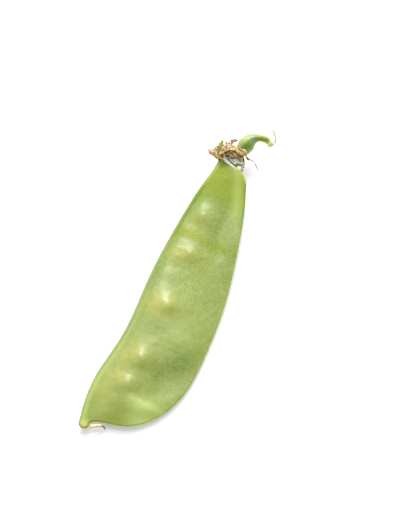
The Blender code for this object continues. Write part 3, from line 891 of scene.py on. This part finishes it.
@dataclass
class DriedStamens:
    """The stamens: their sheath round the neck, split and dried, ends in shrivelled threads.

    Attributes:
        neck: where it grows.
        rim: distance and radius of the sheath's rim.
        radius: of the sheath at its foot, in millimetres.
        threads: round the rim; the split is where none is.
        root: distance and radius where each thread starts, inside the sheath.
        taper: a thread's radius along it, as a share of thread_radius.
        thickness: of the sheath, in millimetres.
        columns, rows: points round and along the sheath.
        thread_steps, thread_rings, thread_sides: points in a thread's route past its root, along it and
            round it.
    """

    neck: NeckFrame
    rim: tuple[float, float] = (1.2, 1.95)
    radius: float = 1.88
    threads: tuple[Lobe, ...] = (
        Lobe(226.0, 17.0, 1.2, 90.0, 105.0, 0.0), Lobe(266.0, 23.0, 1.0, 86.0, 110.0, 0.0),
        Lobe(309.0, 20.0, 1.7, 56.0, 66.0, 0.0), Lobe(358.0, 30.0, 0.6, 0.0, 0.0, 0.0),
        Lobe(418.0, 30.0, 1.8, 30.0, 60.0, 10.0), Lobe(478.0, 30.0, 1.4, 45.0, 70.0, -8.0),
    )
    root: tuple[float, float] = (0.5, 1.9)
    taper: Table = ((0.0, 1.5), (0.12, 1.15), (0.85, 0.8), (1.0, 0.45))
    thickness: float = 0.2
    thread_radius: float = 0.2
    columns: int = 150
    rows: int = 16
    thread_steps: int = 12
    thread_rings: int = 60
    thread_sides: int = 10

    def sheath(self, grower: Grower) -> Piece:
        """Make the split sheath's mesh."""
        start = self.threads[0].middle - self.threads[0].half
        stop = self.threads[-1].middle + self.threads[-1].half
        angle = np.radians(np.linspace(start, stop, self.columns))
        t = np.linspace(0, 1, self.rows)
        torn = 0.86 + 0.14 * unevenness(np.column_stack([angle * 6, angle * 0]), 1.5, 61)
        distance = t[:, None] * self.rim[0] * torn[None, :]
        wrinkle = unevenness(
            np.stack(np.broadcast_arrays(distance * 3, angle[None, :] * 6), axis=-1), 1.4, 62)
        radius = self.radius + (self.rim[1] - self.radius) * t[:, None] ** 2 + 0.05 * wrinkle
        flat = self.neck.place(distance, radius, angle[None, :]).reshape(-1, 3)
        layers = {"edge": np.repeat(t ** 3, self.columns) * 0.8, "green": np.zeros(len(flat)),
                  "fold": np.clip(0.25 + 0.4 * unevenness(flat, 0.8, 63), 0, 0.6)}
        made = grower.grow("stamen_sheath", flat, grid_faces(self.rows, self.columns), layers)
        thicken(made, "Membrane thickness", self.thickness)
        return made

    def build(self, grower: Grower) -> list[Piece]:
        """Make the sheath and its threads."""
        made = [self.sheath(grower)]
        for number, lobe in enumerate(self.threads):
            t, away, out, _ = lobe.spine(self.rim, self.thread_steps)
            t = np.concatenate([[0], t])
            away, out = np.concatenate([self.root[:1], away]), np.concatenate([self.root[1:], out])
            route = self.neck.place(away, out, np.radians(lobe.middle + lobe.swing * t))
            radii = self.thread_radius * np.interp(t, *zip(*self.taper))
            rings = tube(route, radii, self.thread_rings, self.thread_sides, fluting=0.35, flutes=3)
            rings += 0.05 * unevenness(rings, 0.9, 70 + number)[..., None] * self.neck.side
            points, faces = closed_skin(rings)
            layers = {"edge": np.clip(0.4 + 0.5 * unevenness(points, 1.0, 80), 0, 1),
                      "green": np.zeros(len(points)),
                      "fold": np.clip(0.3 + 0.6 * unevenness(points, 1.3, 90 + number), 0, 0.9)}
            made.append(grower.grow(f"stamen_thread_{number}", points, faces, layers))
        return made

    def dress(self, pieces: list[Piece]) -> None:
        """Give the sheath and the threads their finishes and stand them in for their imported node."""
        # A greyish skin that lets some light through, and browner, opaque threads.
        membrane = DriedTissue("Dried stamen membrane", "#d9d8c4", "#b9b494", "#6e5f38", "#a8ac62",
                               sheer=0.3).build()
        thread = DriedTissue("Dried stamen thread", "#cbbfa0", "#8f7448", "#4a3418", "#a8ac62").build()
        for piece in pieces:
            piece.data.materials.append(membrane if piece is pieces[0] else thread)
            settle(piece, "stamens")


class Tissue(Enum):
    """What a withered strip over the neck is made of."""

    LEAF = "calyx leaf"
    ROSY = "rosy edge of a calyx leaf"
    MEMBRANE = "white membrane of the flower"
    THREAD = "filament"


@dataclass(frozen=True)
class Shred:
    """One withered strip of the flower that lies over the neck or stands beside it.

    Attributes:
        name: what it is.
        route: x, y, z and full width along its middle line.
        tissue: what it is made of.
        green, fold, edge: how far it is green, dark and pale, from 0 to 1; painted shade in its hollows is
            added to the dark.
        cup: how far its edges turn down or up, as a share of its half width.
        bands: how many dark bands cross it.
        thickness: in millimetres.
        crumple: how far its surface is crumpled, in millimetres.
    """

    name: str
    route: Rows
    tissue: Tissue = Tissue.LEAF
    green: float = 0.0
    fold: float = 0.2
    edge: float = 0.5
    cup: float = -0.3
    bands: int = 0
    thickness: float = 0.16
    crumple: float = 0.10


@dataclass
class WitheredFlower:
    """What else is left of the flower: curled strips of the calyx, membrane and threads on the neck.

    Attributes:
        facing: the way that the strips' broad sides turn.
        shreds: the strips, in the order of their seeds.
        first_seed, seed_step: of the strips' random draws.
        narrowest: the least width of a strip, in millimetres.
        ceiling: the height that no strip passes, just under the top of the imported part's box.
        rings, sides: points along and round each strip.
    """

    facing: Point = (-0.52, -0.24, 0.82)
    shreds: tuple[Shred, ...] = (
        Shred("left_lobe", ((85.3, 1.5, 6.3, 1.4), (84.86, 1.95, 6.0, 2.1), (83.97, 2.89, 5.8, 2.5),
            (83.60, 4.1, 5.5, 2.3), (83.55, 5.03, 5.4, 1.4), (83.85, 6.0, 5.5, 0.3)), fold=0.25, cup=-0.35),
        Shred("left_lobe_tip", ((83.7, 4.0, 5.85, 0.6), (83.6, 4.8, 5.75, 1.2), (83.75, 5.6, 5.6, 0.9),
            (84.0, 6.25, 5.7, 0.15)), tissue=Tissue.ROSY, fold=0.0, edge=0.6),
        Shred("left_lobe_low_tip", ((83.5, 4.2, 5.5, 0.7), (83.2, 4.9, 5.2, 0.8), (82.95, 5.4, 4.9, 0.2)),
            tissue=Tissue.ROSY, fold=0.1),
        Shred("standing_lobe", ((84.2, 2.5, 5.7, 1.5), (84.6, 2.8, 6.3, 2.0), (85.0, 2.98, 6.85, 1.9),
            (85.8, 3.02, 7.45, 1.2), (86.7, 3.06, 7.9, 0.12)), green=0.95, fold=0.0, edge=0.8, cup=-0.2,
            crumple=0.05),
        Shred("wisp_1", ((85.0, 1.9, 6.6, 0.4), (85.5, 1.9, 7.0, 0.5), (86.2, 2.3, 7.5, 0.35),
            (86.9, 2.7, 7.9, 0.1)), tissue=Tissue.MEMBRANE, fold=0.0, edge=0.9, crumple=0.05),
        Shred("wisp_2", ((85.6, 1.2, 6.8, 0.4), (86.4, 1.65, 7.45, 0.35), (87.1, 2.15, 7.85, 0.1)),
            tissue=Tissue.MEMBRANE, fold=0.0, edge=0.9, crumple=0.05),
        Shred("wisp_3", ((86.1, 0.7, 6.8, 0.4), (86.9, 1.1, 7.45, 0.3), (87.5, 1.6, 7.85, 0.1)),
            tissue=Tissue.MEMBRANE, fold=0.0, edge=0.9, crumple=0.05),
        Shred("hook", ((86.5, 0.2, 6.5, 0.5), (86.6, 0.75, 7.0, 0.6), (87.2, 0.95, 7.45, 0.75),
            (87.8, 0.4, 7.65, 0.7), (88.16, -0.5, 7.75, 0.3)), tissue=Tissue.ROSY, fold=0.05, edge=0.3,
            cup=0.7, crumple=0.04),
        Shred("hook_rim", ((86.4, 0.13, 6.5, 0.4), (86.47, 0.62, 6.98, 0.35), (86.95, 0.65, 7.32, 0.35),
            (87.55, 0.15, 7.5, 0.34), (87.98, -0.55, 7.62, 0.15)), fold=1.0, edge=0.0, crumple=0.03),
        Shred("mat_dark", ((83.9, 1.9, 5.8, 1.0), (84.2, 1.1, 6.1, 1.9), (84.5, 0.0, 6.2, 2.1),
            (85.1, -0.9, 6.2, 1.3)), fold=0.65, edge=0.15, crumple=0.16),
        Shred("mat_upper", ((84.6, 2.2, 6.2, 1.0), (84.9, 1.4, 6.6, 1.5), (85.4, 0.45, 6.8, 1.7),
            (85.9, -0.8, 6.7, 1.5), (86.3, -1.7, 6.4, 0.8)), fold=0.3, edge=0.4, crumple=0.16),
        Shred("mat_low", ((83.2, 1.2, 5.6, 0.5), (83.4, 0.7, 5.8, 1.0), (84.0, -0.3, 6.0, 1.2),
            (84.7, -1.0, 6.1, 0.5)), fold=0.6, edge=0.3, crumple=0.14),
        Shred("right_lobe", ((85.0, -0.2, 6.5, 1.0), (85.5, -1.5, 6.2, 1.9), (85.95, -2.7, 5.75, 1.7),
            (86.4, -3.4, 5.5, 1.0), (86.9, -3.8, 5.4, 0.2)), green=0.9, fold=0.05, edge=0.75, cup=-0.25,
            crumple=0.08),
        Shred("right_lobe_top", ((84.9, 1.8, 6.7, 0.3), (85.6, 1.0, 7.0, 0.6), (86.2, -0.3, 7.0, 0.75),
            (86.55, -1.85, 6.6, 0.6), (86.8, -2.9, 6.2, 0.65), (86.8, -3.7, 5.9, 0.3)), fold=0.1, edge=0.6),
        Shred("right_lobe_low", ((84.3, -0.9, 6.0, 0.3), (84.5, -1.4, 5.85, 0.5), (84.95, -2.3, 5.5, 0.5),
            (85.6, -3.3, 5.1, 0.25)), fold=0.05, edge=0.6),
        Shred("strap_1", ((84.6, 4.1, 5.9, 0.35), (83.8, 3.8, 6.0, 0.45), (83.2, 3.3, 5.95, 0.5),
            (82.35, 2.4, 5.25, 0.35)), fold=0.0, edge=0.95),
        Shred("strap_2", ((82.8, 2.4, 5.6, 0.3), (83.4, 2.2, 6.05, 0.4), (83.95, 1.95, 6.4, 0.4),
            (85.0, 1.55, 6.9, 0.25)), fold=0.0, edge=0.95),
        Shred("strap_3", ((84.0, 1.9, 6.45, 0.3), (83.6, 1.4, 6.35, 0.4), (83.3, 1.05, 6.15, 0.4),
            (82.65, 0.9, 5.5, 0.25)), fold=0.0, edge=0.95),
        Shred("strap_4", ((82.8, 2.4, 5.6, 0.3), (82.6, 1.9, 5.5, 0.4), (82.65, 1.45, 5.4, 0.4),
            (83.25, 1.0, 6.0, 0.25)), fold=0.0, edge=0.9),
        Shred("strap_5", ((83.9, 3.3, 6.05, 0.4), (83.4, 2.9, 5.95, 0.5), (82.7, 2.35, 5.4, 0.4),
            (82.4, 1.8, 5.1, 0.2)), fold=0.75, edge=0.0),
        Shred("strap_6", ((84.7, 1.2, 6.9, 0.3), (84.2, 0.7, 6.75, 0.35), (83.8, -0.3, 6.45, 0.4),
            (83.9, -1.2, 6.1, 0.2)), fold=0.1, edge=0.8),
        Shred("strap_7", ((85.1, 0.3, 7.05, 0.3), (84.7, -0.4, 6.85, 0.4), (84.5, -1.2, 6.5, 0.4),
            (84.9, -2.1, 6.1, 0.25)), fold=0.0, edge=0.7),
        Shred("strap_8", ((85.6, -0.3, 7.0, 0.3), (84.9, 0.0, 6.8, 0.45), (84.1, 0.6, 6.4, 0.4),
            (83.4, 1.6, 6.0, 0.25)), fold=0.15, edge=0.6),
        Shred("spike_1", ((84.3, 3.6, 6.3, 0.4), (84.5, 4.4, 6.5, 0.35), (84.9, 5.2, 6.6, 0.08)), fold=0.1,
            edge=0.6),
        Shred("spike_2", ((84.9, 2.3, 6.7, 0.4), (85.3, 3.2, 7.0, 0.3), (85.5, 3.9, 7.1, 0.08)), fold=0.2,
            edge=0.5),
        Shred("spike_3", ((85.7, 0.3, 6.9, 0.4), (86.3, 0.5, 7.3, 0.3), (86.9, 0.3, 7.5, 0.08)), fold=0.1,
            edge=0.6),
        Shred("green_fold", ((84.0, 2.0, 6.1, 0.3), (83.5, 1.85, 5.9, 0.9), (82.9, 1.65, 5.5, 0.6),
            (82.7, 1.6, 5.3, 0.2)), green=0.9, fold=0.0, edge=0.2),
        Shred("under_mat", ((84.4, 3.6, 5.3, 1.0), (83.6, 3.0, 5.2, 1.8), (82.9, 2.0, 5.2, 1.8),
            (83.1, 0.9, 5.4, 1.0), (83.6, 0.3, 5.6, 0.4)), fold=0.45, edge=0.3, crumple=0.12),
        Shred("bridge", ((86.85, -3.4, 5.35, 0.4), (86.3, -3.6, 4.9, 0.45), (86.1, -4.1, 4.5, 0.4)),
            tissue=Tissue.ROSY, fold=0.5, edge=0.0),
        Shred("nodule_1", ((85.55, -3.0, 4.6, 0.25), (85.4, -3.2, 4.5, 0.65), (85.2, -3.35, 4.4, 0.6),
            (85.1, -3.45, 4.3, 0.25)), tissue=Tissue.ROSY, fold=0.95, edge=0.0, thickness=0.5, cup=0.0),
        Shred("nodule_2", ((86.2, -3.9, 4.5, 0.3), (86.15, -4.15, 4.4, 0.65), (86.05, -4.4, 4.3, 0.6),
            (86.0, -4.6, 4.25, 0.25)), tissue=Tissue.ROSY, fold=1.0, edge=0.0, thickness=0.5, cup=0.0),
        Shred("fuzz", ((83.0, -0.6, 5.4, 0.8), (83.4, -1.2, 5.2, 1.1), (84.0, -1.95, 4.9, 1.3),
            (84.6, -2.8, 4.5, 0.9), (84.9, -3.2, 4.3, 0.4)), tissue=Tissue.MEMBRANE, fold=0.0, edge=0.9,
            crumple=0.12),
        Shred("fuzz_low", ((82.8, -1.5, 4.95, 0.5), (83.3, -2.15, 4.8, 1.1), (84.0, -2.95, 4.4, 1.1),
            (84.6, -3.5, 4.0, 0.5)), tissue=Tissue.MEMBRANE, fold=0.0, edge=0.8, crumple=0.1),
        Shred("green_bit", ((82.9, -1.7, 4.75, 0.3), (83.1, -2.4, 4.6, 0.8), (83.5, -3.1, 4.3, 0.7),
            (83.9, -3.5, 4.0, 0.3)), green=1.0, fold=0.0, edge=0.1, crumple=0.05),
        Shred("membrane", ((82.9, 1.1, 5.7, 0.4), (82.5, 0.5, 5.6, 0.7), (82.0, -0.57, 5.5, 0.75),
            (81.68, -1.55, 5.3, 0.6), (81.4, -2.4, 5.1, 0.45), (81.3, -3.1, 4.85, 0.2)),
            tissue=Tissue.MEMBRANE, fold=0.0, edge=0.7, crumple=0.06),
        Shred("membrane_root", ((83.1, 0.6, 5.7, 0.5), (83.3, 0.0, 5.7, 0.8), (83.7, -0.9, 5.5, 0.9),
            (84.3, -1.5, 5.3, 0.4)), tissue=Tissue.MEMBRANE, fold=0.8, edge=0.1, crumple=0.1),
        Shred("hanging_piece", ((85.4, -3.35, 4.35, 0.5), (84.9, -3.6, 4.1, 0.7), (84.2, -3.8, 3.8, 0.75),
            (83.2, -3.95, 3.5, 0.85), (82.4, -4.1, 3.25, 0.5)), tissue=Tissue.MEMBRANE, green=0.3, fold=0.0,
            edge=0.2, bands=5),
        Shred("thread", ((86.1, -4.35, 4.3, 0.4), (86.2, -5.4, 4.1, 0.28), (85.85, -6.4, 3.7, 0.26),
            (85.2, -7.2, 3.2, 0.24), (84.7, -7.85, 2.85, 0.1)), tissue=Tissue.THREAD, fold=0.35, edge=0.3,
            thickness=0.22, crumple=0.03),
    )
    first_seed: int = 200
    seed_step: int = 10
    narrowest: float = 0.08
    ceiling: float = 8.05
    rings: int = 64
    sides: int = 24

    def strip(self, shred: Shred, seed: int) -> tuple[Array, dict[str, Array]]:
        """Return one shred's rings, and the values that its finish reads."""
        path = smooth_path(np.array(shred.route), self.rings)
        centre, width = path[:, :3], np.maximum(path[:, 3], self.narrowest)
        along = unit(np.gradient(centre, axis=0))
        side = unit(np.cross(along, np.array(self.facing)))
        out = np.cross(side, along)
        share = np.linspace(0, 1, self.rings)
        frayed = width * (1 + 0.22 * unevenness(np.column_stack([share * 9, share * 0 + seed]), 1.3, seed))
        angle = 2 * np.pi * np.arange(self.sides) / self.sides
        q, h = np.cos(angle)[None, :], np.sin(angle)[None, :]
        half = 0.5 * frayed[:, None]
        lift = 0.5 * shred.thickness * h + shred.cup * half * (q ** 2 - 0.4)
        rings = centre[:, None] + (half * q)[..., None] * side[:, None] + lift[..., None] * out[:, None]
        crumple = unevenness(rings, 1.0, seed + 1) + 0.5 * unevenness(rings, 0.42, seed + 2)
        rings = rings + (shred.crumple * crumple)[..., None] * out[:, None]
        rings[..., 2] = np.minimum(rings[..., 2], self.ceiling)
        border = np.abs(q) ** 6 * np.ones_like(half)
        band = 0.5 + 0.5 * np.cos(2 * np.pi * shred.bands * share[:, None]) if shred.bands else 0.0
        # Painted shade where the crumpled strip dips in, and painted light on its crests.
        relief_shade = np.clip(-0.6 * crumple, -0.3, 0.5)
        speckle = unevenness(rings, 0.6, seed + 3)
        patch = unevenness(rings, 0.7, seed + 4)
        values = {
            "edge": shred.edge * (0.35 + 0.65 * border) + 0.15 * speckle,
            "green": shred.green * (1 - border) + 0.25 * shred.green * patch,
            "fold": shred.fold + relief_shade * (0.3 + shred.fold) + 0.9 * band,
        }
        return rings, {name: with_ends(np.clip(value, 0, 1)) for name, value in values.items()}

    def build(self, grower: Grower) -> list[Piece]:
        """Make every shred."""
        made = []
        for number, shred in enumerate(self.shreds):
            rings, layers = self.strip(shred, self.first_seed + self.seed_step * number)
            made.append(grower.grow(f"flower_{shred.name}", *closed_skin(rings), layers))
        return made

    def dress(self, pieces: list[Piece]) -> None:
        """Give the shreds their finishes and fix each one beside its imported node."""
        # Golden straw for the leaves, pinkish for their edges, near white and sheer for the membrane,
        # and a greyish brown for the filament.
        looks = {
            Tissue.LEAF: ("calyx", DriedTissue(
                "Withered calyx strip", "#ead59c", "#c4963a", "#50321c", "#8d9a3c")),
            Tissue.ROSY: ("calyx", DriedTissue(
                "Rosy withered edge", "#f0d0ae", "#d99b70", "#5a271a", "#a8ac62")),
            Tissue.MEMBRANE: ("stamens", DriedTissue(
                "White flower membrane", "#faf5ea", "#ebe4d3", "#6f7a4a", "#9aa65e", sheer=0.4)),
            Tissue.THREAD: ("stamens", DriedTissue(
                "Withered filament", "#b5ab98", "#8d7f6b", "#4d3f33", "#a8ac62")),
        }
        materials = {tissue: finish.build() for tissue, (_, finish) in looks.items()}
        for piece, shred in zip(pieces, self.shreds):
            piece.data.materials.append(materials[shred.tissue])
            settle(piece, looks[shred.tissue][0], stands_in=False)


@dataclass
class DriedStyle:
    """The style: what is left of the flower's pistil on the beak, a thread with a hooked end."""

    route: tuple[Point, ...] = ((0.90, -2.00, 1.72), (1.40, -2.52, 1.62), (1.92, -3.25, 1.50),
                                (2.32, -4.00, 1.35), (2.32, -4.70, 1.18), (1.95, -5.05, 0.95))
    radii: tuple[float, ...] = (0.45, 0.40, 0.33, 0.24, 0.18, 0.15)
    rings: int = 70
    sides: int = 14

    def build(self, grower: Grower) -> Piece:
        """Make the style's mesh."""
        rings = tube(self.route, self.radii, self.rings, self.sides, fluting=0.3, flutes=4)
        rings += 0.03 * unevenness(rings, 0.7, 101)[..., None]
        points, faces = closed_skin(rings)
        along = with_ends(np.repeat(np.linspace(0, 1, self.rings)[:, None], self.sides, axis=1))
        layers = {"edge": 0.8 * ease(0.6, 0.2, along), "green": 0.35 * ease(0.25, 0.0, along),
                  "fold": 0.9 * ease(0.55, 0.75, along)}
        return grower.grow("style_thread", points, faces, layers)

    def dress(self, piece: Piece) -> None:
        """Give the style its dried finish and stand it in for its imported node."""
        # Pale straw, greenish at its root and dark grey at its hooked end.
        finish = DriedTissue("Dried pea style", "#efdcae", "#cdb27a", "#6b5a48", "#c3c96a")
        piece.data.materials.append(finish.build())
        settle(piece, "style")


# The stalk


@dataclass
class Stalk:
    """The stalk: swollen at the calyx, slim past its bend, with a torn fibre at the cut end.

    Attributes:
        route, radii: the stem's middle line and its radius there.
        fibre, fibre_radii: the same for the torn fibre.
        ribs: how many ribs run along the stem.
        core: x, y, z of the brown core in the cut, and its radius.
        waxy: the same for the two bluish spots, where the bloom is thick.
        lit_side: the way the side of the stem with the painted highlight turns.
        rings, sides: points along and round the stem.
        fibre_rings, fibre_sides: the same for the fibre.
    """

    route: tuple[Point, ...] = (
        (87.37, -1.27, 4.20), (87.90, -1.56, 4.32), (88.60, -1.88, 4.68), (89.35, -2.15, 5.12),
        (90.15, -2.48, 5.50), (91.05, -3.05, 5.90), (91.90, -4.15, 6.25), (92.35, -5.50, 6.30),
        (92.55, -6.75, 5.95), (92.50, -7.65, 5.25), (92.20, -8.10, 4.65))
    radii: tuple[float, ...] = (1.70, 1.80, 1.98, 2.20, 2.10, 1.66, 1.12, 0.90, 0.85, 0.90, 1.02)
    fibre: tuple[Point, ...] = ((92.50, -7.90, 5.10), (93.10, -8.50, 5.25), (93.75, -8.60, 5.70),
                                (94.35, -8.15, 6.45), (94.75, -7.60, 7.20), (94.90, -7.15, 7.80))
    fibre_radii: tuple[float, ...] = (0.32, 0.30, 0.27, 0.26, 0.27, 0.20)
    ribs: int = 6
    core: tuple[Point, float] = ((92.1, -8.35, 5.3), 0.38)
    waxy: tuple[tuple[Point, float], ...] = (((90.6, -3.6, 7.2), 0.9), ((89.7, -3.4, 5.9), 0.6))
    lit_side: Point = (-0.6, 0.78, 0.1)
    rings: int = 170
    sides: int = 72
    fibre_rings: int = 60
    fibre_sides: int = 12

    def spot(self, points: Array, middle: Point, radius: float) -> Array:
        """Return a soft spot round a place on the stalk, from 0 to 1 at each point."""
        return np.exp(-((points - np.array(middle)) ** 2).sum(axis=1) / radius ** 2)

    def stem(self, grower: Grower) -> Piece:
        """Make the stem's mesh."""
        rings = tube(self.route, self.radii, self.rings, self.sides, fluting=0.05, flutes=self.ribs)
        wrinkle = 0.035 * unevenness(rings, 1.1, 111) + 0.012 * unevenness(rings, 0.4, 112)
        centre = rings.mean(axis=1, keepdims=True)
        rings = rings + wrinkle[..., None] * unit(rings - centre)
        points, faces = closed_skin(rings)
        outward = unit(np.concatenate([(rings - centre).reshape(-1, 3), [[-1, 0, 0], [0, 0, -1]]]))
        along = with_ends(np.repeat(np.linspace(0, 1, self.rings)[:, None], self.sides, axis=1))
        angle = with_ends(np.tile(2 * np.pi * np.arange(self.sides) / self.sides, (self.rings, 1)))
        end = np.zeros(len(points))
        end[-1] = 1
        # A painted highlight on the side of the thick part that faces the light.
        lit = ease(0.1, 0.9, outward @ unit(np.array(self.lit_side)))
        waxy = np.maximum(*(self.spot(points, *spot) for spot in self.waxy))
        layers = {"slim": 0.85 * ease(0.45, 0.72, along),
                  "cut": np.maximum(0.9 * ease(0.80, 0.90, along), end),
                  "core": np.maximum(end * 0.8, self.spot(points, *self.core)),
                  "ribs": 0.28 * (0.5 + 0.5 * np.cos(self.ribs * angle)) ** 3,
                  "lit": 0.95 * lit * ease(0.46, 0.34, along),
                  "waxy": 0.7 * waxy}
        return grower.grow("stalk_stem", points, faces, layers)

    def build(self, grower: Grower) -> list[Piece]:
        """Make the stem and its fibre."""
        stem = self.stem(grower)
        fibre = tube(self.fibre, self.fibre_radii, self.fibre_rings, self.fibre_sides, fluting=0.4, flutes=3)
        fibre[..., 1] += 0.04 * unevenness(fibre, 0.8, 121)
        points, faces = closed_skin(fibre)
        layers = {"edge": np.full(len(points), 0.6), "green": np.zeros(len(points)),
                  "fold": np.clip(0.4 * unevenness(points, 1.0, 122), 0, 1)}
        return [stem, grower.grow("stalk_fibre", points, faces, layers)]

    def dress(self, pieces: list[Piece]) -> None:
        """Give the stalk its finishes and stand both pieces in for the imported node."""
        # The fibre is a dry, pale straw that lets some light through.
        torn = DriedTissue("Torn stalk fibre", "#dfdcc0", "#d3c6a4", "#a58a6a", "#c3c58a", sheer=0.3)
        for piece, finish in zip(pieces, (StalkSkin(), torn)):
            piece.data.materials.append(finish.build())
            settle(piece, "stalk")


# The studio


@dataclass
class Studio:
    """A pale floor that glows a little, a bright surround, two soft lights and the camera.

    Attributes:
        azimuth, elevation: where the camera stands, in degrees.
        distance: of the camera from its target, in millimetres.
        target: what it looks at, in the pod's own frame.
        lens, sensor: focal length and the sensor's height.
        floor_colour, glow: the floor's colour, and the strength of the light that it sends out.
        sky_colour, surround: the surround's colour and strength.
        bank, key: each light's power in watts, diameter and distance in metres, and elevation in degrees.
        light_azimuth: the side that both lights shine to, as the camera's.
        floor_half: from the floor's middle to its edges, in metres.
    """

    azimuth: float = -65.5
    elevation: float = 55.0
    distance: float = 393.7
    target: Point = (52.44, -6.08, 3.0)
    lens: float = 110.0
    sensor: float = 36.0
    floor_colour: str = "#f4f3f8"
    glow: float = 0.26
    sky_colour: str = "#fbfbff"
    surround: float = 0.5
    bank: tuple[float, float, float, float] = (21.0, 2.0, 1.3, 50.0)
    key: tuple[float, float, float, float] = (6.5, 0.24, 0.9, 41.0)
    light_azimuth: float = -65.5
    floor_half: float = 3.0

    def away(self, azimuth: float, elevation: float) -> Vector:
        """Return the direction from the target to something at that azimuth and elevation."""
        a, e = math.radians(azimuth), math.radians(elevation)
        return Vector((math.sin(a) * math.cos(e), -math.cos(a) * math.cos(e), math.sin(e)))

    def floor(self) -> None:
        """Make the floor, which isn't part of the object."""
        mesh = bpy.data.meshes.new("floor")
        corners = ((-1, -1), (1, -1), (1, 1), (-1, 1))
        mesh.from_pydata([(x * self.floor_half, y * self.floor_half, 0.0) for x, y in corners], [],
                         [(0, 1, 2, 3)])
        floor = bpy.data.objects.new("floor", mesh)
        bpy.context.scene.collection.objects.link(floor)
        # Matt white paper that shows soft shadows only.
        paper, tree, shader = blank_material("Studio paper")
        wire(tree, shader, {
            "Base Color": linear(self.floor_colour), "Roughness": 0.9, "Specular IOR Level": 0.1,
            "Emission Color": linear(self.floor_colour), "Emission Strength": self.glow})
        mesh.materials.append(paper)

    def lights(self, middle: Vector) -> None:
        """Set the surround and the two soft lights, which shine towards the middle."""
        world = bpy.data.worlds.new("surround")
        world.use_nodes = True
        wire(world.node_tree, world.node_tree.nodes["Background"],
             {"Color": linear(self.sky_colour), "Strength": self.surround})
        bpy.context.scene.world = world
        for name, (power, size, distance, elevation) in (("bank", self.bank), ("key", self.key)):
            light = bpy.data.lights.new(name, "AREA")
            light.shape = "DISK"
            light.size = size
            light.energy = power
            lamp = bpy.data.objects.new(name, light)
            direction = self.away(self.light_azimuth + 180.0, elevation)
            lamp.location = middle + direction * distance
            lamp.rotation_euler = direction.to_track_quat("Z", "Y").to_euler()
            bpy.context.scene.collection.objects.link(lamp)

    def build(self, grower: Grower) -> None:
        """Make the floor, the lights and the camera."""
        scene = bpy.context.scene
        middle = Vector((np.array(self.target) + grower.shift) * MM)
        self.floor()
        self.lights(middle)
        camera = bpy.data.cameras.new("camera")
        camera.sensor_fit = "VERTICAL"
        camera.sensor_height = self.sensor
        camera.lens = self.lens
        camera.clip_start = 0.01
        eye = bpy.data.objects.new("camera", camera)
        back = self.away(self.azimuth, self.elevation)
        eye.location = middle + back * self.distance * MM
        eye.rotation_euler = back.to_track_quat("Z", "Y").to_euler()
        scene.collection.objects.link(eye)
        scene.camera = eye
        scene.view_settings.view_transform = "Standard"


def main() -> None:
    """Load the frame, dress every piece and set the studio."""
    logging.basicConfig(level=logging.INFO, format="%(message)s")
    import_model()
    shell = PodShell()
    skin = shell.skin()[0].reshape(-1, 3)
    low, high = (np.array(corner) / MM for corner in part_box("pod"))
    shift = (low + high - skin.min(axis=0) - skin.max(axis=0)) / 2
    grower = Grower(np.array((shift[0], shift[1], 0.0)))
    Studio().build(grower)
    for maker in (shell, DriedStyle(), DriedCalyx(NeckFrame(CALYX_BASE)),
                  DriedStamens(NeckFrame(SHEATH_BASE)), WitheredFlower(), Stalk()):
        maker.dress(maker.build(grower))


if __name__ == "__main__":
    main()
